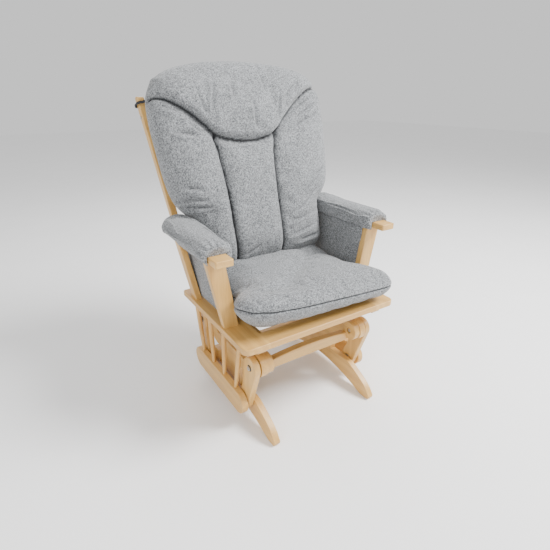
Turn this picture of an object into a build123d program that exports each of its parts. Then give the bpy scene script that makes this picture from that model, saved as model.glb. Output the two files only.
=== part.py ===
from build123d import *
from math import cos, radians, sin, tan
import os

# Glider chair: a fixed wooden base, four swing links and a seat body that hangs in them.
# Millimetres, +Z up.  The sitter faces -Y.  "left" is the -X side, as seen from in front.
# While modelling, Y = 0 is the middle of the seat platform's linkage.  save() moves every
# piece by ORIGIN_SHIFT, so the finished chair has Y = 0 under the middle of its box.
ORIGIN_SHIFT = -29.73

# ---- driving dimensions ----
BOARD = 22.0                 # thickness of the base boards and the lower rails
BASE_IN = 182.0              # inner face of the base sides
BASE_OUT = BASE_IN + BOARD
BASE_MID = -17.5             # the base stands this far forward: the empty seat hangs back in it
BOSS_IN = 160.0              # inner face of the round bosses behind the upper pivots
LINK_IN = 207.0              # inner face of the swing links
LINK_OUT = 227.0
RAIL_IN = 229.0              # inner face of the hanging lower rails
RAIL_OUT = RAIL_IN + BOARD

TOP_PIVOT_Z = 238.0
TOP_PIVOT_SPAN = 172.5       # from the middle of the base to each upper pivot
LOW_PIVOT_Y = 144.0
FRONT_LOW_Z = 90.0
ENDS = (-1, 1)               # front and rear
BOLT_R = 4.0
BORE_R = 4.05                # every hole that a bolt passes through: running clearance
BEARING_R = 10.98            # outside of a bearing sleeve
LINK_BORE_R = 11.0           # bore in a link, which a bearing fills or which stays open
HEAD_R = 36.0                # round ends of the base sides
BOSS_R = 33.0

PLAT_TOP = 357.0             # top of the seat platform
PLAT_T = 19.0
PLAT_LOW = PLAT_TOP - PLAT_T
PLAT_HALF = 279.0
PLAT_FRONT = -266.0
PLAT_REAR = 178.0
SIDE_BOARD_IN = 200.0
CROSS_BOARD = 59.0           # width of the front and rear platform boards

ARM_TOP = 594.0
ARM_T = 19.0
ARM_LOW = ARM_TOP - ARM_T
ARM_X = 291.0                # middle of each arm board
ARM_W = 52.0
ARM_FRONT = -197.0
ARM_REAR = 178.0

RECLINE = 18.0               # lean of the back from the vertical
BACK_Y = 133.0               # front face of the back posts at height BACK_Z
BACK_Z = 380.0
POST_TOP_Z = 968.0
POST_W = 22.0
POST_D = 28.0
POST_IN_LOW = 234.5          # inner face of the back posts where they stand
POST_FLARE = 0.095           # how far they spread for each millimetre of height

EDGE = 2.5                   # rounding of the wooden edges
GAP = 0.3                    # clear space left round every soft piece
SIDES = {"left": -1, "right": 1}

# The back plane: x across, y up along the posts, z out of their front faces.
BACK = Plane(
    origin=(0, BACK_Y, BACK_Z),
    x_dir=(1, 0, 0),
    z_dir=(0, -cos(radians(RECLINE)), sin(radians(RECLINE))),
)


def top_pivot(end):
    """(Y, Z) of an upper pivot, which is fixed to the base."""
    return BASE_MID + end * TOP_PIVOT_SPAN, TOP_PIVOT_Z


def low_pivot(end):
    """(Y, Z) of a lower pivot.  All links are equally long, so the rear one hangs lower."""
    if end < 0:
        return -LOW_PIVOT_Y, FRONT_LOW_Z
    front_top, rear_top = top_pivot(-1)[0], top_pivot(1)[0]
    length_squared = (LOW_PIVOT_Y + front_top) ** 2 + (TOP_PIVOT_Z - FRONT_LOW_Z) ** 2
    drop = (length_squared - (rear_top - LOW_PIVOT_Y) ** 2) ** 0.5
    return LOW_PIVOT_Y, TOP_PIVOT_Z - drop


def save(name, shape):
    moved = Pos(0, ORIGIN_SHIFT, 0) * shape
    moved.label = name
    export_step(moved, f"parts/{name}.step")


def block(x0, x1, y0, y1, z0, z1):
    size = (abs(x1 - x0), abs(y1 - y0), abs(z1 - z0))
    return Pos((x0 + x1) / 2, (y0 + y1) / 2, (z0 + z1) / 2) * Box(*size)


def rod(x0, x1, centre, radius):
    """A cylinder along X round a (Y, Z) centre."""
    turned = Rot(0, 90, 0) * Cylinder(radius, abs(x1 - x0))
    return Pos((x0 + x1) / 2, centre[0], centre[1]) * turned


def board(face, x0, thickness):
    """A board cut to a side outline.  The outline is drawn as (Y, Z)."""
    side = Plane(origin=(x0, 0, 0), x_dir=(0, 1, 0), z_dir=(1, 0, 0))
    return extrude(side * face, amount=thickness)


def mirrored(shape, side):
    """The shape is modelled on the right (+X) and mirrored for the left."""
    return shape if side > 0 else mirror(shape, about=Plane.YZ)


def softened(shape, radius, longer_than=0.0):
    """Round every edge that is longer than a given length."""
    return fillet([edge for edge in shape.edges() if edge.length > longer_than], radius)


def tapered_post(low, high):
    """A post between two level rectangles, each (x middle, y middle, z, x width, y width)."""
    ends = [Pos(x, y, z) * Rectangle(w, d) for x, y, z, w, d in (low, high)]
    return softened(loft(ends, ruled=True), EDGE, 100)


# ---- base ----
FOOT_HALF = 272.5            # from the middle of the base to the tip of a foot
FOOT_TIP_R = 12.0
FOOT_PAD = 28.0              # flat stretch under each tip
FOOT_TOP = 96.0
FOOT_ARCH = 46.0


def foot_outline():
    tip = FOOT_HALF - FOOT_TIP_R
    pad = tip - FOOT_PAD
    with BuildSketch() as outline:
        with BuildLine():
            top = Line((-135, FOOT_TOP), (135, FOOT_TOP))
            rear_top = Spline(top @ 1, (190, 79), (tip + 8.5, 20.5), tangents=[(1, 0), (0.62, -1)])
            rear_tip = ThreePointArc(rear_top @ 1, (FOOT_HALF, FOOT_TIP_R), (tip, 0))
            rear_pad = Line(rear_tip @ 1, (pad, 0))
            arch = Spline(rear_pad @ 1, (164, 22), (0, FOOT_ARCH), (-164, 22), (-pad, 0))
            front_pad = Line(arch @ 1, (-tip, 0))
            front_tip = ThreePointArc(front_pad @ 1, (-FOOT_HALF, FOOT_TIP_R), (-tip - 8.5, 20.5))
            Spline(front_tip @ 1, (-190, 79), top @ 0, tangents=[(0.62, 1), (1, 0)])
        make_face()
    return outline.sketch


def foot():
    shape = Pos(0, BASE_MID, 0) * board(foot_outline(), BASE_IN, BOARD)
    return softened(shape, EDGE, BOARD + 1)


UPRIGHT_HALF = 62.5
BEAM_LOW = 168.0             # the beam that joins the two heads
BEAM_TOP = 214.0
SHOULDER = 100.0             # from the middle of the base to where an arm leaves the beam


def head_arm(end):
    """A head and the arm that carries it, as the hull of two circles."""
    root_r = (BEAM_TOP - BEAM_LOW) / 2
    head = Pos(*top_pivot(end)) * Circle(HEAD_R)
    root = Pos(BASE_MID + end * SHOULDER, BEAM_LOW + root_r) * Circle(root_r)
    return make_hull((head + root).edges())


def base_side():
    beam = Pos(BASE_MID, (BEAM_LOW + BEAM_TOP) / 2) * Rectangle(2 * SHOULDER, BEAM_TOP - BEAM_LOW)
    height = BEAM_TOP - 1 - FOOT_TOP
    upright = Pos(BASE_MID, FOOT_TOP + height / 2) * Rectangle(2 * UPRIGHT_HALF, height)
    shape = board(beam + upright + head_arm(-1) + head_arm(1), BASE_IN, BOARD)
    for end in ENDS:
        shape -= rod(BASE_IN - 1, BASE_OUT + 1, top_pivot(end), BORE_R)
    return shape


def pivot_boss(end):
    """A round block behind a head, counterbored for the bolt head."""
    centre = top_pivot(end)
    boss = rod(BOSS_IN, BASE_IN, centre, BOSS_R)
    boss = fillet(boss.edges().sort_by(Axis.X)[0], 3)
    boss -= rod(BOSS_IN - 1, BOSS_IN + 9, centre, 10)
    return boss - rod(BOSS_IN, BASE_IN + 1, centre, BORE_R)


def upper_bolt(end):
    centre = top_pivot(end)
    shank = rod(BOSS_IN + 8, LINK_OUT + 2.5, centre, BOLT_R)
    head = rod(BOSS_IN + 3.5, BOSS_IN + 9, centre, 7.5)
    socket = rod(BOSS_IN + 3, BOSS_IN + 6, centre, 3)
    return shank + head - socket


def upper_nut(end):
    centre = top_pivot(end)
    nut = Rot(0, 90, 0) * extrude(RegularPolygon(7.5, 6), amount=3.5)
    nut = Pos(LINK_OUT + 0.8, *centre) * nut
    return nut - rod(LINK_OUT, LINK_OUT + 9, centre, BORE_R)


def spacer(end):
    """A washer between a base side and its link."""
    centre = top_pivot(end)
    ring = rod(BASE_OUT, LINK_IN - GAP, centre, 9)
    return ring - rod(BASE_OUT - 1, LINK_IN, centre, BORE_R)


CROSSBAR_T = 24.0
CROSSBAR_SET = 22.0          # from an upper pivot inwards to the middle of its crossbar


def crossbar(end):
    """A bar between two bosses, its top edge slightly arched."""
    with BuildSketch(Plane.XZ) as outline:
        with BuildLine():
            low = Line((-BOSS_IN, 196), (BOSS_IN, 196))
            right = Line(low @ 1, (BOSS_IN, 226))
            arch = ThreePointArc(right @ 1, (0, 237), (-BOSS_IN, 226))
            Line(arch @ 1, low @ 0)
        make_face()
    bar = softened(extrude(outline.sketch, amount=CROSSBAR_T), 3, 100)
    middle = bar.bounding_box().center().Y
    return Pos(0, top_pivot(end)[0] - end * CROSSBAR_SET - middle, 0) * bar


def stretcher():
    """The low bar that lies across both feet, behind the uprights."""
    bar = block(-BASE_OUT, BASE_OUT, 75, 120, FOOT_TOP, FOOT_TOP + 42)
    return softened(bar, 4, 100)


# ---- swing links ----
LINK_TOP_R = 34.0
LINK_LOW_R = 29.0
SCOOP_R = 135.0
SCOOP_DEPTH = 9.0


def link(end):
    """One swing arm.  Its edge that faces the middle of the chair is scooped out."""
    top, low = top_pivot(end), low_pivot(end)
    hull = make_hull((Pos(*top) * Circle(LINK_TOP_R) + Pos(*low) * Circle(LINK_LOW_R)).edges())
    waist = (LINK_TOP_R + LINK_LOW_R) / 2
    scoop_y = (top[0] + low[0]) / 2 - end * (waist + SCOOP_R - SCOOP_DEPTH)
    hull -= Pos(scoop_y, (top[1] + low[1]) / 2 + 25) * Circle(SCOOP_R)
    arm = softened(board(hull, LINK_IN, LINK_OUT - LINK_IN), 3, LINK_OUT - LINK_IN + 1)
    for centre in (top, low):
        arm -= rod(LINK_IN - 1, LINK_OUT + 1, centre, LINK_BORE_R)
    return arm


def bearing(centre):
    sleeve = rod(LINK_IN, LINK_OUT, centre, BEARING_R)
    return sleeve - rod(LINK_IN - 1, LINK_OUT + 1, centre, BORE_R)


def link_bearings(end):
    """Rear links have a bearing at both ends, front links only at the top."""
    centres = [top_pivot(end)]
    if end > 0:
        centres.append(low_pivot(end))
    return [bearing(centre) for centre in centres]


# ---- hanging side frames ----
RAIL_R = 38.0
RAIL_TOP = FRONT_LOW_Z + RAIL_R
SPINDLE_X = (RAIL_IN + RAIL_OUT) / 2
SPINDLE_LOW_Y = (-121, -40, 40, 121)
SPINDLE_TOP_Y = (-165, -55, 55, 165)


def lower_rail():
    outline = SlotCenterToCenter(2 * LOW_PIVOT_Y, 2 * RAIL_R)
    shape = softened(board(Pos(0, FRONT_LOW_Z) * outline, RAIL_IN, BOARD), 3)
    for end in ENDS:
        shape -= rod(RAIL_IN - 1, RAIL_OUT - 4.9, low_pivot(end), BORE_R)
    return shape


def lower_bolt(end):
    """A bolt with a wide flange, screwed into a lower rail."""
    centre = low_pivot(end)
    shank = rod(LINK_IN - 2, RAIL_OUT - 5, centre, BOLT_R)
    return shank + rod(LINK_IN - 1.7, LINK_IN - 0.5, centre, 10)


def spindle(low_y, top_y):
    rings = []
    for share, radius in ((0, 5.8), (0.35, 7.6), (1, 6.4)):
        y = low_y + share * (top_y - low_y)
        z = RAIL_TOP + share * (PLAT_LOW - RAIL_TOP)
        rings.append(Pos(SPINDLE_X, y, z) * Circle(radius))
    return loft(rings)


def spindles():
    return [spindle(low_y, top_y) for low_y, top_y in zip(SPINDLE_LOW_Y, SPINDLE_TOP_Y)]


def batten():
    """The strip under a side board that stiffens it beside the spindles."""
    strip = block(204, 231, PLAT_FRONT + 15, PLAT_REAR - 15, PLAT_LOW - 20, PLAT_LOW)
    return fillet(strip.edges().filter_by(Axis.X).group_by(Axis.Z)[0], 12)


# ---- platform ----
def outer_rims(shape, is_outer):
    """The level edges of a platform board that are not glued to another board."""
    return [
        edge
        for edge in shape.edges()
        if is_outer(edge.center()) and min(abs(edge.center().Z - z) for z in (PLAT_LOW, PLAT_TOP)) < 0.1
    ]


def side_board():
    shape = block(SIDE_BOARD_IN, PLAT_HALF, PLAT_FRONT, PLAT_REAR, PLAT_LOW, PLAT_TOP)
    corners = shape.edges().filter_by(Axis.Z).sort_by(Axis.X)[-2:].sort_by(Axis.Y)
    shape = fillet(corners[0], 20)
    rear_corner = shape.edges().filter_by(Axis.Z).sort_by(lambda edge: edge.center().X + edge.center().Y)[-1]
    shape = fillet(rear_corner, 8)
    return fillet(outer_rims(shape, lambda centre: centre.X > SIDE_BOARD_IN + 1), EDGE)


def cross_board(y0, y1, outer_y):
    """A board between the side boards, its outer long edges softened."""
    shape = block(-SIDE_BOARD_IN, SIDE_BOARD_IN, y0, y1, PLAT_LOW, PLAT_TOP)
    return fillet(outer_rims(shape, lambda centre: abs(centre.Y - outer_y) < 0.1), EDGE)


SUPPORT_IN = 178.0
STRAP_T = 2.5
STRAP_W = 30.0
STRAP_Y = (-20, 25, 70)
STRAP_HALF = 196.0
REST_Z = PLAT_LOW + 3        # top of the support rails


def support_rail():
    front, rear = PLAT_FRONT + CROSS_BOARD, PLAT_REAR - CROSS_BOARD
    return block(SUPPORT_IN, SIDE_BOARD_IN, front, rear, REST_Z - 25, REST_Z)


def seat_straps():
    """Elastic bands stretched over the support rails, under the seat cushion."""
    return [
        block(-STRAP_HALF, STRAP_HALF, y, y + STRAP_W, REST_Z, REST_Z + STRAP_T)
        for y in STRAP_Y
    ]


# ---- arms ----
def front_arm_post():
    return tapered_post((250, -122, PLAT_TOP, 46, 22), (290, -122, ARM_LOW, 54, 22))


def rear_arm_post():
    return tapered_post((260, 98, PLAT_TOP, 20, 38), (291, 148, ARM_LOW, 20, 38))


def arm_board():
    half = ARM_W / 2
    shape = block(ARM_X - half, ARM_X + half, ARM_FRONT, ARM_REAR, ARM_LOW, ARM_TOP)
    shape = fillet(shape.edges().filter_by(Axis.Z).sort_by(Axis.Y)[:2], 5)
    rims = [edge for edge in shape.edges() if edge.center().Y < ARM_REAR - 1 and abs((edge % 0.5).Z) < 0.5]
    return fillet(rims, EDGE)


# ---- back frame ----
def back_slope(z):
    """Y of the front face of the back posts at height z."""
    return BACK_Y + tan(radians(RECLINE)) * (z - BACK_Z)


def back_post():
    ends = []
    for z in (PLAT_TOP, POST_TOP_Z):
        x = POST_IN_LOW + POST_W / 2 + POST_FLARE * (z - PLAT_TOP)
        ends.append((x, back_slope(z) + POST_D / 2, z, POST_W, POST_D))
    sections = [Pos(x, y, z) * Rectangle(w, d) for x, y, z, w, d in ends]
    post = loft(sections, ruled=True)
    post = fillet(post.edges().filter_by(Axis.X).group_by(Axis.Z)[-1], 10)
    return softened(post, 2, 100)


TOP_RAIL_S = (529.0, 589.0)  # span of the back top rail along the back plane
LOW_RAIL_S = (27.0, 77.0)
FRAME_N = (-24.0, -4.0)      # the rails lie this far behind the front faces of the posts
SLAT_N = (-19.0, -9.0)
SLAT_W = 42.0
SLAT_STEP = 84.0
SCREW_R = 2.5


def in_back(x0, x1, s0, s1, n0, n1):
    """A block in the back plane: x across, s up along the posts, n forward."""
    size = (x1 - x0, s1 - s0, n1 - n0)
    return BACK * (Pos((x0 + x1) / 2, (s0 + s1) / 2, (n0 + n1) / 2) * Box(*size))


def post_face_x(s):
    """X of the outer face of a back post at s along the back plane."""
    z = BACK_Z + s * cos(radians(RECLINE))
    return POST_IN_LOW + POST_W + POST_FLARE * (z - PLAT_TOP)


def back_screw(span):
    """A wood screw with a round head, through a back post into the end of a rail."""
    s, n = sum(span) / 2, sum(FRAME_N) / 2
    x = post_face_x(s)
    shank = Pos(x - 24, s, n) * (Rot(0, 90, 0) * Cylinder(SCREW_R, 50))
    head = Pos(x + 0.5, s, n) * (Rot(0, 90, 0) * Cylinder(5, 3))
    return BACK * (shank + head)


def back_screws():
    spans = (TOP_RAIL_S, LOW_RAIL_S)
    return [mirrored(back_screw(span), side) for side in SIDES.values() for span in spans]


def drilled(shape):
    for screw in back_screws():
        shape -= screw
    return shape


def back_rail(span, posts):
    rail = softened(in_back(-300, 300, *span, *FRAME_N), EDGE, 100)
    for post in posts:
        rail -= post
    middle = min(rail.solids(), key=lambda piece: abs(piece.center().X))
    return drilled(middle)


def back_slat(index):
    x = index * SLAT_STEP
    slat = in_back(x - SLAT_W / 2, x + SLAT_W / 2, LOW_RAIL_S[1], TOP_RAIL_S[0], *SLAT_N)
    return softened(slat, 2, 100)


# ---- soft pieces, plain closed solids ----
SEAT_HALF = 254.0            # seat cushion in front of the arm posts
SEAT_NECK = 223.0            # seat cushion between the arm posts
SEAT_NECK_Y = -144.0
SEAT_FRONT = -278.0
SEAT_REAR = 118.0
SEAT_CROWN = 478.0
SEAT_EDGE = 428.0
CUSHION_D = 145.0            # depth of the back cushion
CUSHION_LOW = SEAT_CROWN + 2


def seat_section():
    """The seat cushion seen from in front: flat below, crowned above."""
    low = PLAT_TOP + GAP
    belly = (low + SEAT_EDGE) / 2
    with BuildSketch(Plane.XZ) as section:
        with BuildLine():
            floor = Line((-SEAT_HALF + 34, low), (SEAT_HALF - 34, low))
            right = ThreePointArc(floor @ 1, (SEAT_HALF, belly), (SEAT_HALF - 16, SEAT_EDGE))
            crown = ThreePointArc(right @ 1, (0, SEAT_CROWN), (-SEAT_HALF + 16, SEAT_EDGE))
            ThreePointArc(crown @ 1, (-SEAT_HALF, belly), floor @ 0)
        make_face()
    return section.sketch


def seat_cushion():
    """Wide in front of the arm posts and narrower between them."""
    body = extrude(seat_section(), amount=SEAT_REAR - SEAT_FRONT)
    body = Pos(0, SEAT_REAR - body.bounding_box().max.Y, 0) * body
    front = Pos(0, (SEAT_FRONT + SEAT_NECK_Y) / 2) * Rectangle(2 * SEAT_HALF + 2, SEAT_NECK_Y - SEAT_FRONT)
    front = fillet(front.vertices().group_by(Axis.Y)[0], 32)
    rear = Pos(0, (SEAT_NECK_Y + SEAT_REAR) / 2) * Rectangle(2 * SEAT_NECK, SEAT_REAR - SEAT_NECK_Y)
    return body & extrude(Pos(0, 0, PLAT_TOP) * (front + rear), amount=SEAT_CROWN)


def cushion_outline(share):
    """Outline of the back cushion on the back plane, drawn to a share of its full size."""
    middle = 377.0

    def at(x, s):
        return (share * x, middle + share * (s - middle))

    with BuildSketch() as outline:
        with BuildLine():
            low = Line(at(-212, 60), at(212, 60))
            waist = Line(low @ 1, at(232, 240))
            flank = Spline(waist @ 1, at(290, 325), at(320, 470), at(312, 605), tangents=[(0.5, 1), (-0.2, 1)])
            crown = Spline(flank @ 1, at(215, 672), at(0, 700), at(-215, 672), at(-312, 605))
            far_flank = Spline(
                crown @ 1, at(-320, 470), at(-290, 325), at(-232, 240), tangents=[(-0.2, -1), (0.5, -1)]
            )
            Line(far_flank @ 1, low @ 0)
        make_face()
    return outline.sketch


def back_cushion():
    """Four outlines lofted into a slab with bevelled rims, cut level above the seat."""
    layers = ((0.0, 0.88), (40.0, 1.0), (CUSHION_D - 45, 1.0), (CUSHION_D, 0.84))
    slab = loft([Pos(0, 0, n) * cushion_outline(share) for n, share in layers], ruled=True)
    slab = BACK * (Pos(0, 0, GAP + 0.2) * slab)
    return slab & block(-400, 400, -300, 600, CUSHION_LOW, 1300)


PAD_IN = 236.0
PAD_OUT = 343.0
PAD_LOW = 566.0
PAD_TOP = 637.0
PAD_FRONT = -152.0
PAD_REAR = 158.0
CHANNEL = 4.0                # clear width each side of the arm board under a pad


def arm_pad():
    """A padded sleeve that sits on the arm board and hangs over both its edges."""
    pad = block(PAD_IN, PAD_OUT, PAD_FRONT, PAD_REAR, PAD_LOW, PAD_TOP)
    rear_corner = pad.edges().filter_by(Axis.Z).sort_by(lambda edge: edge.center().X + edge.center().Y)[-1]
    pad = fillet(rear_corner, 40)
    pad = fillet(pad.edges().group_by(Axis.Z)[-1], 25)
    reach = ARM_W / 2 + CHANNEL
    return pad - block(ARM_X - reach, ARM_X + reach, PAD_FRONT - 1, 300, PAD_LOW - 1, ARM_TOP + GAP)


APRON_T = 10.0
APRON_X = 240.0
APRON_LEAN = 4.0
APRON_BACK = 3.0             # clear of the back posts


def apron():
    """The flat padded panel below an arm pad, between the arm posts."""
    low, top = PLAT_TOP + 5, PAD_LOW - 1.5
    rear_low, rear_top = back_slope(low) - APRON_BACK, back_slope(top) - APRON_BACK
    with BuildSketch() as outline:
        with BuildLine():
            Polyline((-107, low), (rear_low, low), (rear_top, top), (-107, top), close=True)
        make_face()
    panel = Pos(0, 0, -low) * board(outline.sketch, 0, APRON_T)
    return Pos(APRON_X, 0, low) * (Rot(0, APRON_LEAN, 0) * panel)


TIE_S = 594.0                # height of the tie straps along the back plane
TIE_W = 8.0


def tie_strap():
    """An elastic loop round a back post that holds the top of the back cushion."""
    x1 = post_face_x(TIE_S) + 3.5
    x0 = x1 - POST_W - 7.0
    outer = in_back(x0 - 2, x1 + 2, TIE_S, TIE_S + TIE_W, -POST_D - 4.0, -0.4)
    return outer - in_back(x0, x1, TIE_S - 1, TIE_S + TIE_W + 1, -POST_D - 2.0, 1)


# ---- every piece to its own file ----
def save_pair(name, shape):
    for word, side in SIDES.items():
        save(f"{name}_{word}", mirrored(shape, side))


def save_group(name, solids):
    save(name, Compound(children=list(solids)))


def save_four(name, make):
    """One node of four equal pieces, front and rear on both sides."""
    save_group(name, [mirrored(make(end), side) for side in SIDES.values() for end in ENDS])


def save_base():
    save_pair("foot", foot())
    save_pair("base_side", base_side())
    for word, side in SIDES.items():
        save_group(f"pivot_bosses_{word}", [mirrored(pivot_boss(end), side) for end in ENDS])
    save("front_crossbar", crossbar(-1))
    save("rear_crossbar", crossbar(1))
    save("rear_stretcher", stretcher())
    save_four("upper_pivot_bolts", upper_bolt)
    save_four("upper_pivot_nuts", upper_nut)
    save_four("upper_pivot_spacers", spacer)


def save_links():
    for place, end in zip(("front", "rear"), ENDS):
        for word, side in SIDES.items():
            save(f"link_{place}_{word}", mirrored(link(end), side))
            save_group(f"bearings_{place}_{word}", [mirrored(ring, side) for ring in link_bearings(end)])


def save_seat_frame():
    save_pair("lower_rail", lower_rail())
    save_pair("batten", batten())
    save_pair("side_board", side_board())
    save_pair("support_rail", support_rail())
    for word, side in SIDES.items():
        save_group(f"spindles_{word}", [mirrored(piece, side) for piece in spindles()])
    save_four("lower_pivot_bolts", lower_bolt)
    save("front_board", cross_board(PLAT_FRONT, PLAT_FRONT + CROSS_BOARD, PLAT_FRONT))
    save("rear_board", cross_board(PLAT_REAR - CROSS_BOARD, PLAT_REAR, PLAT_REAR))
    save_group("seat_straps", seat_straps())
    save_pair("front_arm_post", front_arm_post())
    save_pair("rear_arm_post", rear_arm_post())
    save_pair("arm_board", arm_board())


def save_back_frame():
    posts = [mirrored(back_post(), side) for side in SIDES.values()]
    for word, post in zip(SIDES, posts):
        save(f"back_post_{word}", drilled(post))
    save("back_top_rail", back_rail(TOP_RAIL_S, posts))
    save("back_bottom_rail", back_rail(LOW_RAIL_S, posts))
    for index in range(-2, 3):
        save(f"back_slat_{index + 3}", back_slat(index))
    save_group("back_screws", back_screws())


def save_soft_pieces():
    save("seat_cushion", seat_cushion())
    save("back_cushion", back_cushion())
    save_pair("arm_pad", arm_pad())
    save_pair("arm_apron", apron())
    save_group("tie_straps", [mirrored(tie_strap(), side) for side in SIDES.values()])


os.makedirs("parts", exist_ok=True)
save_base()
save_links()
save_seat_frame()
save_back_frame()
save_soft_pieces()
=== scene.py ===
from math import cos, pi, radians, sin

import bpy
import numpy as np
from mathutils import Euler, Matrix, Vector


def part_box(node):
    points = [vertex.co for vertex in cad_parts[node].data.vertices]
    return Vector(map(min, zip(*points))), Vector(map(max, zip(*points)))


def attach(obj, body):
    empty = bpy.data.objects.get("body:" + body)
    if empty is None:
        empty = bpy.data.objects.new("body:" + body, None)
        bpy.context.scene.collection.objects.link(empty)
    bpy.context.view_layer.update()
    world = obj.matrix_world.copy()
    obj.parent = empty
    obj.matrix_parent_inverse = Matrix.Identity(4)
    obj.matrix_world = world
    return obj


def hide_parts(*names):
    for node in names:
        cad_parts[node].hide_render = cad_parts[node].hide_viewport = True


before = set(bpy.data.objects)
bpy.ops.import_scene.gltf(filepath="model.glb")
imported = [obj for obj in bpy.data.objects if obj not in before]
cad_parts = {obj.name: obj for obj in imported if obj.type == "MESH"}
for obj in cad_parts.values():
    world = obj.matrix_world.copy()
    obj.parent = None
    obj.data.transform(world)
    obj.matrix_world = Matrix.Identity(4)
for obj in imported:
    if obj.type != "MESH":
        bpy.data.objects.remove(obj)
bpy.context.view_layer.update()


# ---------------------------------------------------------------- node helpers
def new_material(name, roughness):
    material = bpy.data.materials.new(name)
    material.use_nodes = True
    tree = material.node_tree
    shader = tree.nodes["Principled BSDF"]
    shader.inputs["Roughness"].default_value = roughness
    return material, tree, shader


def node(tree, kind, **values):
    """Add a node; a value goes to the input of that name, or to the property."""
    made = tree.nodes.new(kind)
    for name, value in values.items():
        socket = made.inputs.get(name.replace("_", " "))
        if socket is not None:
            socket.default_value = value
        else:
            setattr(made, name, value)
    return made


def ramp(tree, factor, stops):
    """A colour ramp through (position, colour) stops."""
    made = tree.nodes.new("ShaderNodeValToRGB")
    elements = made.color_ramp.elements
    while len(elements) < len(stops):
        elements.new(0.5)
    for element, (position, colour) in zip(elements, stops):
        element.position = position
        element.color = (*colour, 1)
    tree.links.new(factor, made.inputs["Fac"])
    return made.outputs["Color"]


def mix(tree, factor, first, second, blend="MIX"):
    """Mix two colours; the factor is a number or a socket."""
    made = tree.nodes.new("ShaderNodeMix")
    made.data_type = "RGBA"
    made.blend_type = blend
    for socket, value in ((made.inputs[0], factor), (made.inputs[6], first), (made.inputs[7], second)):
        if isinstance(value, bpy.types.NodeSocket):
            tree.links.new(value, socket)
        else:
            socket.default_value = value
    return made.outputs[2]


def placed(tree, offset=(0, 0, 0), turn=(0, 0, 0), scale=(1, 1, 1)):
    """Object coordinates, turned and stretched."""
    where = tree.nodes.new("ShaderNodeTexCoord")
    mapping = node(tree, "ShaderNodeMapping", Location=offset, Rotation=turn, Scale=scale)
    tree.links.new(where.outputs["Object"], mapping.inputs["Vector"])
    return mapping.outputs["Vector"]


def noise(tree, where, scale, detail=3.0, roughness=0.5, distortion=0.0):
    made = node(
        tree, "ShaderNodeTexNoise", Scale=scale, Detail=detail, Roughness=roughness, Distortion=distortion
    )
    tree.links.new(where, made.inputs["Vector"])
    return made.outputs["Fac"]


def ranged(tree, value, low, high):
    """Map a 0-1 value to a range."""
    made = node(tree, "ShaderNodeMapRange", To_Min=low, To_Max=high)
    tree.links.new(value, made.inputs["Value"])
    return made.outputs["Result"]


def bump(tree, shader, layers):
    """Stack (height socket, strength, distance) layers onto the shader's normal."""
    normal = None
    for height, strength, distance in layers:
        made = node(tree, "ShaderNodeBump", Strength=strength, Distance=distance)
        tree.links.new(height, made.inputs["Height"])
        if normal is not None:
            tree.links.new(normal, made.inputs["Normal"])
        normal = made.outputs["Normal"]
    tree.links.new(normal, shader.inputs["Normal"])


# ---------------------------------------------------------------- materials
def wood(name, along, seed, lean=0.0):
    """Lacquered maple.  The grain runs along an axis; lean turns it about X."""
    material, tree, shader = new_material(name, 0.4)
    offset = (0.37 * seed, 0.61 * seed, 0.23 * seed)
    lengthwise = {"X": (0.06, 1, 1), "Y": (1, 0.06, 1), "Z": (1, 1, 0.06)}[along]
    stretched = placed(tree, offset, (lean, 0, 0), lengthwise)
    rings = node(tree, "ShaderNodeTexWave", Scale=11.0, Distortion=5.0, Detail=3.0)
    rings.wave_type = "RINGS"
    rings.rings_direction = along
    rings.inputs["Detail Scale"].default_value = 1.6
    tree.links.new(stretched, rings.inputs["Vector"])
    bands = ramp(tree, rings.outputs["Fac"], [(0.15, (0.55, 0.305, 0.085)), (0.85, (0.68, 0.410, 0.128))])
    broad = noise(tree, stretched, 9.0, 4.0, 0.55, 0.6)
    tone = ramp(tree, broad, [(0.3, (0.51, 0.280, 0.072)), (0.7, (0.72, 0.450, 0.145))])
    fibre = noise(tree, stretched, 260.0, 3.0, 0.6)
    streak = ramp(tree, fibre, [(0.34, (0.80, 0.76, 0.70)), (0.56, (1, 1, 1))])
    colour = mix(tree, 0.5, bands, tone)
    colour = mix(tree, 0.55, colour, streak, "MULTIPLY")
    tree.links.new(colour, shader.inputs["Base Color"])
    tree.links.new(ranged(tree, fibre, 0.34, 0.5), shader.inputs["Roughness"])
    shader.inputs["Coat Weight"].default_value = 0.18
    shader.inputs["Coat Roughness"].default_value = 0.3
    bump(tree, shader, [(fibre, 0.12, 0.0006), (rings.outputs["Fac"], 0.05, 0.0008)])
    return material


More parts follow.
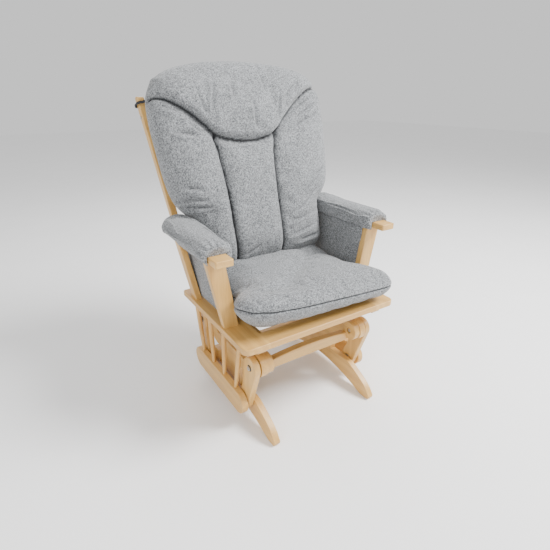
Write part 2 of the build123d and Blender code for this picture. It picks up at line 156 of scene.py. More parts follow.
def fabric(name, dark, light):
    """Heathered flat weave: light and dark yarns, a slub here and there, a soft nap."""
    material, tree, shader = new_material(name, 0.95)
    where = placed(tree)
    yarns = node(tree, "ShaderNodeTexVoronoi", Scale=620.0)
    tree.links.new(where, yarns.inputs["Vector"])
    heather = noise(tree, where, 240.0, 4.0, 0.8)
    slubs = noise(tree, placed(tree, scale=(1, 1, 0.35)), 420.0, 2.0, 0.5)
    cloudy = noise(tree, where, 30.0, 3.0, 0.5)
    middle = tuple((a + b) / 2 for a, b in zip(dark, light))
    colour = ramp(tree, heather, [(0.38, dark), (0.5, middle), (0.62, light)])
    yarn_tone = ramp(tree, yarns.outputs["Color"], [(0.1, (0.72, 0.72, 0.72)), (0.9, (1.16, 1.16, 1.16))])
    colour = mix(tree, 0.6, colour, yarn_tone, "MULTIPLY")
    slub_tone = ramp(tree, slubs, [(0.32, (0.70, 0.70, 0.71)), (0.44, (1, 1, 1)), (0.72, (1.12, 1.12, 1.12))])
    colour = mix(tree, 0.6, colour, slub_tone, "MULTIPLY")
    cloud_tone = ramp(tree, cloudy, [(0.3, (0.95, 0.95, 0.95)), (0.7, (1.04, 1.04, 1.04))])
    colour = mix(tree, 1.0, colour, cloud_tone, "MULTIPLY")
    # Painted shade: the colour is darkened towards near black where the seam attribute marks the bottom of a
    # seam or crease.
    painted_shade_amount = node(tree, "ShaderNodeAttribute", attribute_name=PAINTED_SHADE_ATTRIBUTE)
    colour = mix(tree, painted_shade_amount.outputs["Fac"], colour, SEAM_PAINTED_SHADOW)
    tree.links.new(colour, shader.inputs["Base Color"])
    shader.inputs["Sheen Weight"].default_value = 0.25
    shader.inputs["Sheen Roughness"].default_value = 0.6
    shader.inputs["Specular IOR Level"].default_value = 0.15
    bump(tree, shader, [(yarns.outputs["Distance"], 0.5, 0.0011), (heather, 0.35, 0.0014)])
    return material


def webbing(name, dark, light, rib):
    """A ribbed elastic band."""
    material, tree, shader = new_material(name, 0.8)
    ribs = node(tree, "ShaderNodeTexWave", Scale=rib, Distortion=0.4)
    ribs.bands_direction = "DIAGONAL"
    tree.links.new(placed(tree), ribs.inputs["Vector"])
    fuzz = noise(tree, placed(tree), 900.0)
    tree.links.new(ramp(tree, ribs.outputs["Fac"], [(0.2, dark), (0.8, light)]), shader.inputs["Base Color"])
    bump(tree, shader, [(ribs.outputs["Fac"], 0.5, 0.0006), (fuzz, 0.3, 0.0004)])
    return material


def steel(name):
    """Zinc plated steel with fine turning marks."""
    material, tree, shader = new_material(name, 0.34)
    shader.inputs["Metallic"].default_value = 1.0
    marks = noise(tree, placed(tree, scale=(1, 0.15, 0.15)), 900.0, 3.0, 0.6)
    bloom = noise(tree, placed(tree), 90.0, 3.0, 0.6)
    colour = ramp(tree, bloom, [(0.3, (0.50, 0.50, 0.49)), (0.7, (0.63, 0.63, 0.64))])
    tree.links.new(colour, shader.inputs["Base Color"])
    tree.links.new(ranged(tree, marks, 0.26, 0.44), shader.inputs["Roughness"])
    bump(tree, shader, [(marks, 0.15, 0.0002)])
    return material


def moulded(name):
    """Matt black moulded plastic with a fine spark texture."""
    material, tree, shader = new_material(name, 0.55)
    grain = noise(tree, placed(tree), 1500.0, 2.0)
    colour = ramp(tree, grain, [(0.3, (0.018, 0.018, 0.020)), (0.7, (0.035, 0.035, 0.038))])
    tree.links.new(colour, shader.inputs["Base Color"])
    bump(tree, shader, [(grain, 0.25, 0.0002)])
    return material


PAINTED_SHADE_ATTRIBUTE = "painted_seam_shade"    # a point attribute: how much painted shade darkens a point at the bottom of a seam or crease, 0 to 1
# painted shadow: the near-black colour that the cover is darkened towards in its seams and creases
SEAM_PAINTED_SHADOW = (0.012, 0.013, 0.015, 1)
GREY_DARK = (0.052, 0.055, 0.059)
GREY_LIGHT = (0.345, 0.357, 0.366)
COVER = fabric("grey_cover", GREY_DARK, GREY_LIGHT)
BLACK_ELASTIC = webbing("black_elastic", (0.012, 0.012, 0.013), (0.035, 0.035, 0.038), 260.0)
DARK_WEBBING = webbing("dark_webbing", (0.05, 0.05, 0.052), (0.11, 0.11, 0.112), 150.0)
STEEL = steel("zinc_steel")
PLASTIC = moulded("bearing_plastic")

RECLINE = radians(18)
GRAIN = {
    "X": ("front_crossbar", "rear_crossbar", "rear_stretcher", "front_board", "rear_board",
          "back_top_rail", "back_bottom_rail"),
    "Y": ("foot", "base_side", "pivot_bosses", "side_board", "support_rail", "lower_rail", "batten",
          "arm_board"),
    "Z": ("link", "spindles", "front_arm_post", "rear_arm_post", "back_post", "back_slat"),
}


def grain_of(name):
    for axis, starts in GRAIN.items():
        if name.startswith(starts):
            return axis
    return None


def dress_cad_nodes():
    """Each wooden node gets its own board, so that no two show the same grain."""
    for seed, (name, piece) in enumerate(sorted(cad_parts.items())):
        axis = grain_of(name)
        if axis:
            lean = -RECLINE if name.startswith(("back_post", "back_slat")) else 0.0
            material = wood("maple_" + name, axis, seed, lean)
        elif name.startswith("bearings"):
            material = PLASTIC
        else:
            material = STEEL
        piece.data.materials.clear()
        piece.data.materials.append(material)


# ---------------------------------------------------------------- mesh helpers
# Points along a smooth line: an edge on the grid, an edge of the made cushion, a seam, a patch's side.
EDGE_POINTS = 90
RIM_POINTS = 120
SEAM_POINTS = 60
PATCH_POINTS = 200
PUFF_FRAMES = 20             # steps of the cloth solver


def smooth_line(points, count):
    """Points evenly spaced along a smooth curve through a few given points."""
    points = np.array(points, float)
    ends = np.vstack([2 * points[0] - points[1], points, 2 * points[-1] - points[-2]])
    share = np.linspace(0, 1, 24, endpoint=False)[:, None]
    runs = []
    for a, b, c, d in zip(ends, ends[1:], ends[2:], ends[3:]):
        runs.append(0.5 * (2 * b + (c - a) * share + (2 * a - 5 * b + 4 * c - d) * share**2
                           + (3 * b - a - 3 * c + d) * share**3))
    dense = np.vstack([*runs, points[-1:]])
    length = np.concatenate([[0], np.cumsum(np.linalg.norm(np.diff(dense, axis=0), axis=1))])
    wanted = np.linspace(0, length[-1], count)
    return np.stack([np.interp(wanted, length, dense[:, k]) for k in range(dense.shape[1])], axis=1)


def distance_to(line, points):
    """How far each point is from a polyline, and the nearest place on it."""
    best = np.full(len(points), 1e9)
    nearest = points.copy()
    for a, b in zip(line, line[1:]):
        run = b - a
        share = np.clip((points - a) @ run / max(run @ run, 1e-12), 0, 1)
        place = a + share[:, None] * run
        gap = np.linalg.norm(points - place, axis=1)
        closer = gap < best
        best[closer] = gap[closer]
        nearest[closer] = place[closer]
    return best, nearest


def rim_spacing(count, share=0.13, steps=0.2):
    """0-1, closer together at both ends, where a cushion turns round its rim."""
    t = np.linspace(0, 1, count)
    low = share * (1 - np.cos(pi / 2 * np.clip(t / steps, 0, 1)))
    high = 1 - share * (1 - np.cos(pi / 2 * np.clip((1 - t) / steps, 0, 1)))
    middle = share + (t - steps) / (1 - 2 * steps) * (1 - 2 * share)
    return np.where(t < steps, low, np.where(t > 1 - steps, high, middle))


def patch(low, right, high, left, across, up):
    """A grid of flat points that fills the space between four edge lines."""
    u = rim_spacing(across)[None, :, None]
    v = rim_spacing(up)[:, None, None]

    def at(line, share):
        line = smooth_line(line, PATCH_POINTS)
        along = np.linspace(0, 1, PATCH_POINTS)
        return np.stack([np.interp(share, along, line[:, k]) for k in (0, 1)], axis=-1)

    across_at, up_at = u[0, :, 0], v[:, 0, 0]
    b, t = at(low, across_at)[None], at(high, across_at)[None]
    l, r = at(left, up_at)[:, None], at(right, up_at)[:, None]
    corners = (1 - u) * (1 - v) * b[:, :1] + u * (1 - v) * b[:, -1:]
    corners = corners + (1 - u) * v * t[:, :1] + u * v * t[:, -1:]
    return (1 - v) * b + v * t + (1 - u) * l + u * r - corners


def rim_distance(edges, flat, count):
    """How far each point of a flat grid is from the nearest of its edges."""
    places = flat.reshape(-1, 2)
    gaps = [distance_to(smooth_line(edge, count), places)[0] for edge in edges]
    return np.min(gaps, axis=0).reshape(flat.shape[:2])


def shell(name, front, back, material):
    """Join two grids of the same size, which share their border, into one closed mesh."""
    up, across = front.shape[:2]
    index_front = np.arange(up * across).reshape(up, across)
    index_back = index_front.copy()
    index_back[1:-1, 1:-1] = up * across + np.arange((up - 2) * (across - 2)).reshape(up - 2, across - 2)
    points = np.vstack([front.reshape(-1, 3), back[1:-1, 1:-1].reshape(-1, 3)])

    def quads(index, flip):
        a, b, c, d = index[:-1, :-1], index[:-1, 1:], index[1:, 1:], index[1:, :-1]
        order = (a, d, c, b) if flip else (a, b, c, d)
        return np.stack([x.ravel() for x in order], axis=1).tolist()

    return mesh_piece(name, points, quads(index_front, False) + quads(index_back, True), material)


def mesh_piece(name, points, faces, material):
    mesh = bpy.data.meshes.new(name)
    mesh.from_pydata(np.asarray(points).tolist(), [], faces)
    mesh.validate()
    mesh.update()
    piece = bpy.data.objects.new(name, mesh)
    bpy.context.scene.collection.objects.link(piece)
    mesh.materials.append(material)
    mesh.polygons.foreach_set("use_smooth", [True] * len(mesh.polygons))
    return piece


def points_of(piece):
    flat = np.zeros(len(piece.data.vertices) * 3)
    piece.data.vertices.foreach_get("co", flat)
    return flat.reshape(-1, 3)


def normals_of(piece):
    flat = np.zeros(len(piece.data.vertices) * 3)
    piece.data.vertex_normals.foreach_get("vector", flat)
    return flat.reshape(-1, 3)


def paint_seam_shade(piece, painted_shade_amount):
    """Store how much painted shade darkens the cover's colour at the bottoms of its seams and creases."""
    attribute = piece.data.attributes.new(PAINTED_SHADE_ATTRIBUTE, "FLOAT", "POINT")
    attribute.data.foreach_set("value", np.clip(painted_shade_amount, 0, 1).astype(np.float32))


def set_points(piece, points):
    piece.data.vertices.foreach_set("co", np.asarray(points, float).ravel())
    piece.data.update()


def puff(piece, held, pressure, spare, cap):
    """Blow the cover up with the cloth solver.

    held says how firmly each point stays, spare how much the cloth is larger, cap how far a point moves.
    """
    start = points_of(piece)
    group = piece.vertex_groups.new(name="held")
    for index in np.nonzero(held > 0)[0]:
        group.add([int(index)], float(held[index]), "REPLACE")
    cloth = piece.modifiers.new("cloth", "CLOTH")
    settings = cloth.settings
    settings.quality = 5
    settings.mass = 0.3
    settings.tension_stiffness = settings.compression_stiffness = 15
    settings.bending_stiffness = 0.6
    settings.use_pressure = True
    settings.uniform_pressure_force = pressure
    settings.shrink_min = -spare
    settings.vertex_group_mass = "held"
    settings.effector_weights.gravity = 0
    cloth.point_cache.frame_end = PUFF_FRAMES
    scene = bpy.context.scene
    for number in range(1, PUFF_FRAMES + 1):
        scene.frame_set(number)
    blown = piece.evaluated_get(bpy.context.evaluated_depsgraph_get()).to_mesh()
    flat = np.zeros(len(blown.vertices) * 3)
    blown.vertices.foreach_get("co", flat)
    step = flat.reshape(-1, 3) - start
    length = np.linalg.norm(step, axis=1, keepdims=True)
    piece.modifiers.clear()
    piece.vertex_groups.clear()
    set_points(piece, start + step * np.minimum(1, cap / np.maximum(length, 1e-9)))
    scene.frame_set(1)


def subdivide(piece):
    """One step of subdivision, applied."""
    piece.modifiers.new("finer", "SUBSURF").levels = 1
    finer = bpy.data.meshes.new_from_object(piece.evaluated_get(bpy.context.evaluated_depsgraph_get()))
    piece.modifiers.clear()
    piece.data = finer
    finer.polygons.foreach_set("use_smooth", [True] * len(finer.polygons))


def rounded(gap, radius, power=2.0):
    """0 at a rim, rising round to 1 a radius inside it."""
    return (1 - (1 - np.clip(gap / radius, 0, 1)) ** power) ** (1 / power)


def valley(gap, width):
    """1 on a seam, falling to 0 a width away, sharp at the bottom."""
    return (1 - np.clip(gap / width, 0, 1)) ** 2


def fold(points, start, end, width):
    """1 along a short crease, fading at its ends and over its width."""
    start, end = np.array(start, float), np.array(end, float)
    run = end - start
    off = points - start
    share = off @ run / (run @ run)
    across = np.abs(run[0] * off[:, 1] - run[1] * off[:, 0]) / np.linalg.norm(run)
    ends = np.clip(np.minimum(share, 1 - share) / 0.3 + 0.15, 0, 1)
    return np.exp(-((across / width) ** 2)) * ends


# ---------------------------------------------------------------- the leaning back
POST_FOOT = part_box("back_post_left")[0]
UP = np.array([0, sin(RECLINE), cos(RECLINE)])
OUT = np.array([0, -cos(RECLINE), sin(RECLINE)])
ACROSS = np.array([1.0, 0, 0])
ORIGIN_UP = 0.0242           # from the foot of a post up to the place that heights are counted from
BACK_ORIGIN = np.array([0, POST_FOOT.y, POST_FOOT.z]) + ORIGIN_UP * UP


def on_back(x, s, n):
    """Row coordinates of a place: x across, s up along the posts, n out of their fronts."""
    return BACK_ORIGIN + x[..., None] * ACROSS + s[..., None] * UP + n[..., None] * OUT


def from_back(points):
    off = points - BACK_ORIGIN
    return off @ ACROSS, off @ UP, off @ OUT


# Half the outline of the back cushion, from the middle of its foot to the middle of its crown.
BACK_FOOT = [(0, 0.054), (0.13, 0.053), (0.207, 0.062)]
BACK_FLANK = [(0.207, 0.062), (0.229, 0.100), (0.234, 0.190), (0.240, 0.222), (0.266, 0.246), (0.290, 0.284),
              (0.304, 0.345), (0.312, 0.440), (0.316, 0.520), (0.311, 0.590), (0.286, 0.642)]
BACK_CROWN = [(0.286, 0.642), (0.232, 0.671), (0.150, 0.691), (0.060, 0.699), (0, 0.701)]
BACK_MIDDLE = 0.074          # the rim lies this far in front of the posts
BACK_HALF = 0.068            # its fullness in front of the rim, before it is blown up
BACK_REAR_HALF = 0.066       # and behind the rim
BACK_GRID = (84, 88)         # points across and up
CROWN_RUN = 0.085            # how far in from the rim the front reaches its full height
BELLY = 0.012                # extra fullness in the small of the back
BELLY_AT, BELLY_REACH, BELLY_HALF_WIDTH = 0.34, 0.30, 0.3
PILLOW = 0.021               # extra fullness above the curved seam
PILLOW_RISE, PILLOW_REACH, PILLOW_HALF_WIDTH = 0.012, 0.19, 0.27
DIP, DIP_WIDTH = 0.011, 0.026    # the broad hollow along a seam

HEAD_SEAM = [(-0.334, 0.556), (-0.314, 0.580), (-0.286, 0.576), (-0.248, 0.552), (-0.211, 0.523),
             (-0.176, 0.490), (-0.148, 0.460), (-0.102, 0.443), (-0.030, 0.434), (0.042, 0.444),
             (0.074, 0.459), (0.106, 0.492), (0.147, 0.531), (0.192, 0.566), (0.246, 0.598), (0.308, 0.618)]
LEFT_SEAM = [(-0.148, 0.460), (-0.141, 0.408), (-0.134, 0.336), (-0.130, 0.240), (-0.130, 0.140),
             (-0.127, 0.060)]
RIGHT_SEAM = [(0.074, 0.459), (0.061, 0.404), (0.053, 0.324), (0.049, 0.237), (0.048, 0.155), (0.047, 0.060)]

# Creases, each from one end to the other.
BACK_FOLDS = [
    ((-0.290, 0.281), (-0.205, 0.267)), ((-0.282, 0.262), (-0.196, 0.244)),
    ((-0.268, 0.315), (-0.212, 0.300)), ((-0.270, 0.478), (-0.198, 0.460)),
    ((0.150, 0.520), (0.262, 0.588)), ((0.140, 0.492), (0.288, 0.568)),
    ((0.135, 0.468), (0.285, 0.531)), ((0.080, 0.490), (0.106, 0.592)),
    ((-0.062, 0.615), (-0.070, 0.556)), ((-0.116, 0.630), (-0.150, 0.520)),
    ((-0.185, 0.600), (-0.163, 0.500)), ((0.058, 0.640), (0.050, 0.576)),
    ((-0.112, 0.074), (-0.050, 0.104)), ((0.060, 0.110), (0.208, 0.148)),
    ((0.058, 0.156), (0.222, 0.192)), ((0.090, 0.186), (0.232, 0.273)),
    ((-0.012, 0.460), (-0.006, 0.550)), ((0.190, 0.300), (0.290, 0.345)),
    ((-0.300, 0.560), (-0.236, 0.530)), ((-0.226, 0.504), (-0.180, 0.466)),
    ((0.110, 0.556), (0.180, 0.620)), ((0.100, 0.090), (0.200, 0.104)),
    ((0.120, 0.240), (0.245, 0.318)), ((0.118, 0.524), (0.226, 0.606)),
]


def flipped(line):
    return [(-x, y) for x, y in line]


def back_outline():
    low = flipped(BACK_FOOT[:0:-1]) + BACK_FOOT
    high = flipped(BACK_CROWN[:-1]) + BACK_CROWN[::-1]
    return low, BACK_FLANK, high, flipped(BACK_FLANK)


def back_cushion():
    """A knife-edged cushion with a head pillow and three channels sewn into its front."""
    edges = back_outline()
    flat = patch(*edges, *BACK_GRID)
    x, s = flat[..., 0], flat[..., 1]
    border = np.vstack([smooth_line(edge, RIM_POINTS) for edge in edges])
    places = flat.reshape(-1, 2)
    lines = [smooth_line(line, SEAM_POINTS) for line in (HEAD_SEAM, LEFT_SEAM, RIGHT_SEAM)]
    seam_gap = np.min([distance_to(line, places)[0] for line in lines], axis=0).reshape(x.shape)
    rim_gap = rim_distance(edges, flat, EDGE_POINTS)
    crown = rounded(rim_gap, CROWN_RUN, 2.1)
    belly = BELLY * np.clip(1 - ((s - BELLY_AT) / BELLY_REACH) ** 2, 0, 1)
    belly = belly * np.clip(1 - (x / BELLY_HALF_WIDTH) ** 2, 0, 1)
    head_line = smooth_line(HEAD_SEAM, SEAM_POINTS)
    above = s - np.interp(x, head_line[:, 0], head_line[:, 1])
    pillow = PILLOW * np.clip(above / PILLOW_RISE, 0, 1) * np.clip(1 - above / PILLOW_REACH, 0, 1)
    pillow *= np.clip(1.25 - (x / PILLOW_HALF_WIDTH) ** 4, 0, 1)
    front = BACK_MIDDLE + (BACK_HALF + belly) * crown + pillow * crown
    front -= DIP * valley(seam_gap, DIP_WIDTH) * crown
    back = BACK_MIDDLE - BACK_REAR_HALF * rounded(rim_gap, 0.07)
    piece = shell("back_cushion_cover", on_back(x, s, front), on_back(x, s, back), COVER)
    across, up, out = from_back(points_of(piece))
    places = np.stack([across, up], axis=1)
    in_front = out > BACK_MIDDLE + 0.004
    gap = np.min([distance_to(line, places)[0] for line in lines], axis=0)
    rim = distance_to(border, places)[0]
    held = np.where(in_front, np.clip(1.2 - gap / 0.007, 0, 1), 0)
    against_slats = out < 0.02
    held = np.maximum(held, np.where(against_slats, 0.9, 0))
    held = np.maximum(held, np.clip(1 - rim / 0.030, 0, 1) * 0.8)
    puff(piece, held, 4.0, 0.016, 0.022)
    subdivide(piece)
    sew(piece, lines)
    return piece


SEAM_CUT, SEAM_CUT_WIDTH = 0.0085, 0.0085        # the sharp nip at a seam
PUCKER, PUCKER_WIDTH = 0.003, 0.022              # the softer pull beside it
SNAP_REACH, SNAP_SHARE = 0.0030, 0.85            # points this near a seam are drawn on to it
# the width over which painted shade darkens the cloth beside a seam
SHADE_WIDTH = 0.0034
# a crease: how deep, how wide, and how dark its painted shade is
CREASE, CREASE_WIDTH, CREASE_PAINTED_SHADE = 0.0072, 0.005, 0.35
RIDGE, RIDGE_WIDTH, RIDGE_OFF = 0.0036, 0.008, 0.010    # the cloth stands up beside a crease


def sew(piece, lines):
    """Pull the sewn seams and the creases into the finished front of the back cushion, and paint shade into
    their bottoms.
    """
    points = points_of(piece)
    inward = -normals_of(piece)
    across, up, out = from_back(points)
    places = np.stack([across, up], axis=1)
    facing = np.clip((out - BACK_MIDDLE - 0.002) / 0.012, 0, 1)
    pull = np.zeros(len(points))
    shade = np.zeros(len(points))
    for line in lines:
        gap, nearest = distance_to(line, places)
        pull += SEAM_CUT * valley(gap, SEAM_CUT_WIDTH) + PUCKER * valley(gap, PUCKER_WIDTH)
        snap = (gap < SNAP_REACH) & (facing > 0)
        # painted shade along the seam, full where points are drawn on to it
        shade = np.maximum(shade, np.where(snap, 1.0, np.clip(1.4 - gap / SHADE_WIDTH, 0, 1)))
        shift = (nearest - places) * SNAP_SHARE
        points[snap] += shift[snap, :1] * ACROSS + shift[snap, 1:] * UP
    for start, end in BACK_FOLDS:
        crease = fold(places, start, end, CREASE_WIDTH)
        # painted shade in the bottom of the crease
        shade = np.maximum(shade, CREASE_PAINTED_SHADE * np.clip(crease * 2 - 1, 0, 1))
        pull += CREASE * crease
        pull -= RIDGE * fold(places + RIDGE_OFF, start, end, RIDGE_WIDTH)
    set_points(piece, points + inward * (pull * facing)[:, None])
    paint_seam_shade(piece, shade * facing)


# ---------------------------------------------------------------- the seat cushion
SEAT_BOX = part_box("seat_cushion")
SEAT_SEAM = 0.058            # height of the rim above the platform
SEAM_LIFT = 0.036            # how far the rim rides up from the front right corner to the front left one
REAR_LIFT = 0.024            # and how far at its rear
SEAT_GRID = (80, 66)
HEADROOM = 0.010             # room left above for the cloth to swell
DISH = 0.005                 # the hollow where one sits
NUDGE = 0.006                # the front lies a little to the right
SEAT_FOLD, SEAT_FOLD_WIDTH = 0.0032, 0.007
NIP, NIP_WIDTH = 0.0055, 0.0075
# the width of the painted shade along the seat's seam
NIP_SHADE_WIDTH = 0.0024
# The outline on the plan, metres to the right and behind the front edge.
SEAT_FRONT = [(-0.190, 0.010), (-0.100, 0.001), (0, 0.000), (0.130, 0.000), (0.228, 0.003)]
SEAT_RIGHT = [(0.228, 0.003), (0.256, 0.016), (0.265, 0.048), (0.258, 0.096), (0.238, 0.134), (0.224, 0.165),
              (0.223, 0.266), (0.219, 0.360)]
SEAT_LEFT = [(-0.190, 0.010), (-0.238, 0.030), (-0.262, 0.068), (-0.262, 0.104), (-0.240, 0.136),
             (-0.224, 0.165), (-0.223, 0.266), (-0.219, 0.360)]
SEAT_BACK = [(0.219, 0.360), (0.209, 0.388), (0.180, 0.396), (0, 0.396)]


def seat_outline():
    high = flipped(SEAT_BACK[:-1]) + SEAT_BACK[::-1]
    return SEAT_FRONT, SEAT_RIGHT, high, SEAT_LEFT


SEAT_FOLDS = [
    ((0.200, 0.008), (0.226, 0.058)), ((-0.212, 0.012), (-0.232, 0.062)), ((0.222, 0.130), (0.168, 0.176)),
    ((-0.222, 0.132), (-0.166, 0.182)), ((0.060, 0.346), (0.150, 0.318)), ((-0.150, 0.336), (-0.050, 0.351)),
]


def seam_lift(x, y):
    """How far the sagging rim rides up at a place on the plan."""
    at_front = SEAM_LIFT * np.clip(0.5 - x / 0.50, 0, 1) * np.clip(1.3 - y / 0.2, 0, 1)
    return at_front + REAR_LIFT * np.clip(y / 0.09 - 3, 0, 1)


def seat_cushion():
    """A loose cushion with one seam round its rim, crowned above and flat on the platform."""
    low, high = SEAT_BOX
    edges = seat_outline()
    flat = patch(*edges, *SEAT_GRID)
    x, y = flat[..., 0], flat[..., 1]
    rim_gap = rim_distance(edges, flat, EDGE_POINTS)
    rise = high.z - low.z - SEAT_SEAM - HEADROOM
    dish = DISH * np.exp(-((x / 0.15) ** 2 + ((y - 0.23) / 0.12) ** 2))
    top = SEAT_SEAM + rise * (0.66 * rounded(rim_gap, 0.05) + 0.34 * rounded(rim_gap, 0.2, 1.8)) - dish
    bottom = SEAT_SEAM - (SEAT_SEAM - 0.002) * rounded(rim_gap, 0.085, 1.8)
    lift = seam_lift(x, y) * np.clip(1 - rim_gap / 0.10, 0, 1)

    def place(height):
        nudge = NUDGE * np.clip(1 - y / 0.14, 0, 1)
        return np.stack([x + nudge, low.y + y, low.z + height + lift], axis=-1)

    piece = shell("seat_cushion_cover", place(top), place(bottom), COVER)
    points = points_of(piece)
    on_platform = points[:, 2] - low.z < 0.012
    held = np.where(on_platform, 1.0, 0.0)
    rim_points = np.vstack([smooth_line(edge, RIM_POINTS) for edge in edges])
    gap = distance_to(rim_points, np.stack([points[:, 0], points[:, 1] - low.y], axis=1))[0]
    held = np.maximum(held, np.clip(1 - gap / 0.004, 0, 1) * 0.8)
    puff(piece, held, 3.0, 0.025, 0.016)
    subdivide(piece)
    points = points_of(piece)
    points[:, 2] = np.maximum(points[:, 2], low.z)
    flat_places = np.stack([points[:, 0], points[:, 1] - low.y], axis=1)
    above = np.clip((points[:, 2] - low.z - SEAT_SEAM - 0.004) / 0.012, 0, 1)
    pull = sum(SEAT_FOLD * fold(flat_places, start, end, SEAT_FOLD_WIDTH) for start, end in SEAT_FOLDS)
    gap = distance_to(rim_points, flat_places)[0]
    set_points(piece, points - normals_of(piece) * (pull * above)[:, None])
    welt(piece, gap, low.z + SEAT_SEAM)
    return piece


def welt(piece, gap, height):
    """Nip in the seam where the two halves of the seat cover meet, and paint shade into it."""
    points = points_of(piece)
    level = np.abs(points[:, 2] - height - seam_lift(points[:, 0], points[:, 1] - SEAT_BOX[0].y))
    nip = valley(np.maximum(level, gap * 0.5), NIP_WIDTH)
    set_points(piece, points - normals_of(piece) * (NIP * nip)[:, None])
    # painted shade along the nipped seam
    paint_seam_shade(piece, np.clip(1.4 - np.maximum(level, gap * 0.4) / NIP_SHADE_WIDTH, 0, 1))


# ---------------------------------------------------------------- arm pads
PAD_STATIONS, PAD_STEPS = 64, 132    # rings along a pad, and points round a ring
PAD_CORE = 0.05              # the share of its fullness that a pad keeps at its very ends
NOSE_ROUND = 0.034           # the front end is round over this length
REAR_ROUND, REAR_ROUND_UP = 0.040, 0.018    # the rear end, across and up
PLEAT, PLEAT_REACH = 0.10, 0.022
PAD_TURN = (-66, 238)        # degrees, from under the outer edge over the top to under the inner edge


def arm_pad(word, side):
    """A plump sleeve round the arm board, gathered at its front, open below."""
    low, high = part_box("arm_pad_right")
    board_low, board_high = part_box("arm_board_right")
    stations, steps = PAD_STATIONS, PAD_STEPS
    middle_x = (low.x + high.x) / 2
    middle_z = board_high.z
    half_x = (high.x - low.x) / 2 - 0.001
    rise, drop = high.z - middle_z - 0.002, middle_z - low.z
    channel_in, channel_out = board_low.x - 0.003, board_high.x + 0.003
    turn = np.linspace(radians(PAD_TURN[0]), radians(PAD_TURN[1]), steps)
    power = np.where((np.cos(turn) < 0) & (np.sin(turn) < 0), 2 / 5.0, 2 / 2.15)
    outer_x = middle_x + half_x * np.sign(np.cos(turn)) * np.abs(np.cos(turn)) ** power
    swing = np.where(np.sin(turn) > 0, rise, drop)
    outer_z = middle_z + swing * np.sign(np.sin(turn)) * np.abs(np.sin(turn)) ** power
    inner = smooth_corner_channel(channel_in, channel_out, low.z + 0.004, board_high.z + 0.0008, steps)
    rows = []
    length = high.y - low.y
    for share in rim_spacing(stations, 0.09, 0.2):
        near_front, near_rear = share * length, (1 - share) * length
        ripple = np.sin(turn * 15 + 0.7 * np.sin(turn * 4))
        pleat = 1 + PLEAT * np.exp(-near_front / PLEAT_REACH) * ripple
        nose = rounded(near_front, NOSE_ROUND) * pleat
        across = PAD_CORE + (1 - PAD_CORE) * nose * rounded(near_rear, REAR_ROUND, 2.2)
        up = PAD_CORE + (1 - PAD_CORE) * nose * rounded(near_rear, REAR_ROUND_UP)
        x = inner[:, 0] + (outer_x - inner[:, 0]) * across
        z = inner[:, 1] + (outer_z - inner[:, 1]) * up
        y = np.full(steps, low.y + share * length)
        rows.append((np.stack([x, y, z], axis=1), np.stack([inner[:, 0], y, inner[:, 1]], axis=1)))
    ring = 2 * steps
    points = np.vstack([np.vstack([outside, inside[::-1]]) for outside, inside in rows])
    points[:, 0] *= side
    faces = []
    for station in range(stations - 1):
        for k in range(ring):
            a, b = station * ring + k, station * ring + (k + 1) % ring
            faces.append((a, b, b + ring, a + ring))
    for base in (0, (stations - 1) * ring):
        for k in range(steps - 1):
            quad = (base + k, base + k + 1, base + ring - 2 - k, base + ring - 1 - k)
            faces.append(quad if (base > 0) else quad[::-1])
    if side < 0:
        faces = [face[::-1] for face in faces]
    piece = mesh_piece(f"arm_pad_{word}_cover", points, faces, COVER)
    held = np.tile(np.concatenate([np.zeros(steps), np.ones(steps)]), stations)
    held[: 2 * ring] = np.maximum(held[: 2 * ring], 0.6)
    held[-3 * ring:] = 1.0
    puff(piece, held, 3.0, 0.02, 0.006)
    subdivide(piece)
    return piece


def smooth_corner_channel(x0, x1, low, top, count):
    """The open channel under a pad, from its outer foot up, across and down again."""
    corners = [(x1, low), (x1, top), (x0, top), (x0, low)]
    share = np.interp(np.linspace(0, 1, count), [0, 0.16, 0.84, 1], [0, 1, 2, 3])
    return np.stack([np.interp(share, range(4), [c[k] for c in corners]) for k in (0, 1)], axis=1)


# ---------------------------------------------------------------- aprons
APRON_PAST_FRONT = 0.008     # it reaches this far past its plain front edge
APRON_EDGE = 0.002
APRON_HALF = 0.0046          # half its thickness
APRON_UNDER_PAD = 0.010      # its top edge goes this far up into the pad
APRON_GRID = (48, 44)
APRON_EDGE_POINTS = 60


def apron(word, side):
    """The flat padded panel that hangs below an arm pad."""
    low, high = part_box("arm_apron_right")
    pad_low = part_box("arm_pad_right")[0].z
    drop = pad_low + APRON_UNDER_PAD - low.z
    front = low.y - APRON_PAST_FRONT
    rear_low = high.y - np.tan(RECLINE) * (high.z - low.z)
    rear_high = rear_low + np.tan(RECLINE) * drop
    edges = (
        [(front, APRON_EDGE), (rear_low - APRON_EDGE, APRON_EDGE)],
        [(rear_low - APRON_EDGE, APRON_EDGE), (rear_high - APRON_EDGE, drop)],
        [(front, drop), (rear_high - APRON_EDGE, drop)],
        [(front, APRON_EDGE), (front, drop)],
    )
    flat = patch(*edges, *APRON_GRID)
    y, z = flat[..., 0], flat[..., 1]
    full = rounded(rim_distance(edges, flat, APRON_EDGE_POINTS), 0.02)
    middle = low.x + 0.0052 + (high.x - low.x - 0.0102) * z / drop
    ripple = 0.0016 * np.sin(y * 55 + z * 21) + 0.0012 * np.sin(z * 48 - y * 17)

    def place(sign):
        return np.stack([side * (middle + sign * APRON_HALF * full + ripple * full), y, low.z + z], axis=-1)

    front_face, back_face = (place(-1), place(1)) if side > 0 else (place(1), place(-1))
    piece = shell(f"arm_apron_{word}_cover", back_face, front_face, COVER)
    subdivide(piece)
    return piece


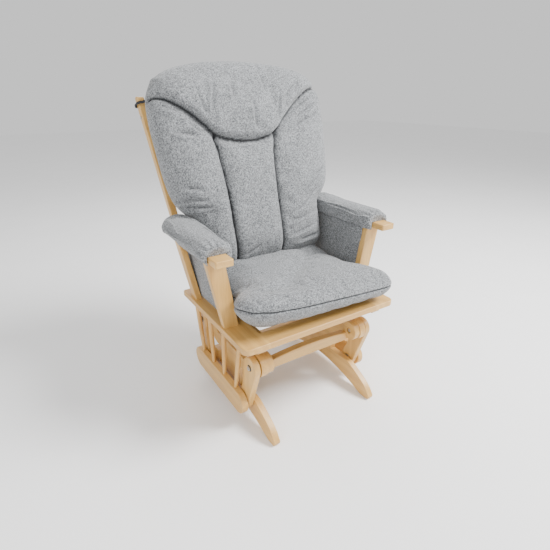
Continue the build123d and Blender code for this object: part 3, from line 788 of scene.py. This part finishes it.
# ---------------------------------------------------------------- straps
def band(name, line, width_along, thickness, material):
    """A flat strap along a line of points, its width along one direction."""
    line = smooth_line(line, 40)
    run = np.gradient(line, axis=0)
    run /= np.linalg.norm(run, axis=1, keepdims=True)
    wide = np.array(width_along, float)
    normal = np.cross(run, wide / np.linalg.norm(wide))
    normal /= np.linalg.norm(normal, axis=1, keepdims=True)
    section = [(-0.5, -0.3), (-0.4, -0.5), (0, -0.42), (0.4, -0.5), (0.5, -0.3),
               (0.5, 0.3), (0.4, 0.5), (0, 0.42), (-0.4, 0.5), (-0.5, 0.3)]
    rings = [line + a * wide + b * thickness * normal for a, b in section]
    count, size = len(line), len(section)
    points = np.stack(rings, axis=1).reshape(-1, 3)
    faces = [list(range(size))[::-1], [(count - 1) * size + k for k in range(size)]]
    for i in range(count - 1):
        for k in range(size):
            a, b = i * size + k, i * size + (k + 1) % size
            faces.append((a, b, b + size, a + size))
    return mesh_piece(name, points, faces, material)


def join(name, parts):
    """One piece out of several."""
    points, faces, start = [], [], 0
    for part in parts:
        points.append(points_of(part))
        faces += [[start + k for k in face.vertices] for face in part.data.polygons]
        start += len(part.data.vertices)
    made = mesh_piece(name, np.vstack(points), faces, parts[0].data.materials[0])
    for part in parts:
        bpy.data.objects.remove(part)
    return made


STRAP_WIDTH, STRAP_PITCH, STRAP_T = 0.030, 0.045, 0.0022
STRAP_SAG = 0.004
TIE_UP = 0.598               # how far up the posts the tie loops sit
TIE_WIDTH, TIE_T = 0.008, 0.0018


def seat_straps():
    """Three elastic bands across the seat, sagging a little under the cushion."""
    low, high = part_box("seat_straps")
    at_rails, at_middle = high.z - STRAP_T / 2 - 0.0001, high.z - STRAP_SAG
    parts = []
    for k in range(3):
        y = low.y + STRAP_WIDTH / 2 + k * STRAP_PITCH
        line = [(low.x, y, at_rails), (low.x * 0.88, y, at_rails), (0, y, at_middle),
                (high.x * 0.88, y, at_rails), (high.x, y, at_rails)]
        parts.append(band(f"strap_{k}", line, (0, STRAP_WIDTH, 0), STRAP_T, DARK_WEBBING))
    return join("seat_strap_bands", parts)


def tie_straps():
    """A loop of black elastic round each post, with a tail sewn into the cushion's rim."""
    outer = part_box("tie_straps")[1].x + 0.0005
    inner = outer - 0.031
    parts = []
    for side in (-1, 1):
        loop = [(inner, 0.006), (inner, -0.014), (inner + 0.003, -0.031), (outer - 0.003, -0.031),
                (outer, -0.014), (outer - 0.002, 0.008), (outer - 0.018, 0.020), (outer - 0.034, 0.040)]
        line = [on_back(np.array(side * x), np.array(TIE_UP), np.array(n)) for x, n in loop]
        parts.append(band(f"tie_{side}", line, TIE_WIDTH * UP, TIE_T, BLACK_ELASTIC))
    return join("tie_strap_loops", parts)


# ---------------------------------------------------------------- put it together
def fit(piece, body, node_name):
    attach(piece, body)
    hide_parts(node_name)


def build_soft_pieces():
    fit(back_cushion(), "seat", "back_cushion")
    fit(seat_cushion(), "seat", "seat_cushion")
    for word, side in (("left", -1), ("right", 1)):
        fit(arm_pad(word, side), "seat", f"arm_pad_{word}")
        fit(apron(word, side), "seat", f"arm_apron_{word}")
    fit(seat_straps(), "seat", "seat_straps")
    fit(tie_straps(), "seat", "tie_straps")


def build_floor():
    material, tree, shader = new_material("pale_floor", 0.85)
    tone = noise(tree, placed(tree), 3.0)
    tree.links.new(ramp(tree, tone, [(0.3, (0.93, 0.93, 0.93)), (0.7, (0.95, 0.95, 0.95))]),
                   shader.inputs["Base Color"])
    size = 12.0
    corners = [(-size, -size, 0), (size, -size, 0), (size, size, 0), (-size, size, 0)]
    floor = mesh_piece("floor", corners, [(0, 1, 2, 3)], material)


def add_light(name, place, target, size, power):
    lamp = bpy.data.lights.new(name, "AREA")
    lamp.shape = "DISK"
    lamp.size = size
    lamp.energy = power
    lit = bpy.data.objects.new(name, lamp)
    lit.location = place
    lit.rotation_euler = (Vector(target) - Vector(place)).to_track_quat("-Z", "Y").to_euler()
    bpy.context.scene.collection.objects.link(lit)


def build_light():
    world = bpy.data.worlds.new("soft_white")
    world.use_nodes = True
    sky = world.node_tree.nodes["Background"]
    sky.inputs["Color"].default_value = (1, 1, 1, 1)
    sky.inputs["Strength"].default_value = 0.88
    bpy.context.scene.world = world
    seat_middle = (0, 0, 0.5)
    add_light("key", (1.9, -1.5, 3.0), seat_middle, 1.5, 270)
    add_light("fill", (-2.2, -1.6, 1.8), seat_middle, 2.0, 40)
    add_light("rim", (0.6, 2.2, 2.4), seat_middle, 1.6, 20)


def build_camera():
    """The camera looks down on the chair from its right front, as seen by the sitter."""
    yaw, pitch = 0.5703, 0.4163
    lens = bpy.data.cameras.new("camera")
    lens.sensor_width = 36.0
    lens.lens = 26.80
    lens.clip_start, lens.clip_end = 0.05, 60.0
    camera = bpy.data.objects.new("camera", lens)
    camera.location = (-0.6985, -1.0942, 0.976)
    camera.rotation_euler = Euler((pi / 2 - pitch, 0, -yaw), "XYZ")
    bpy.context.scene.collection.objects.link(camera)
    bpy.context.scene.camera = camera


dress_cad_nodes()
build_soft_pieces()
build_floor()
build_light()
build_camera()
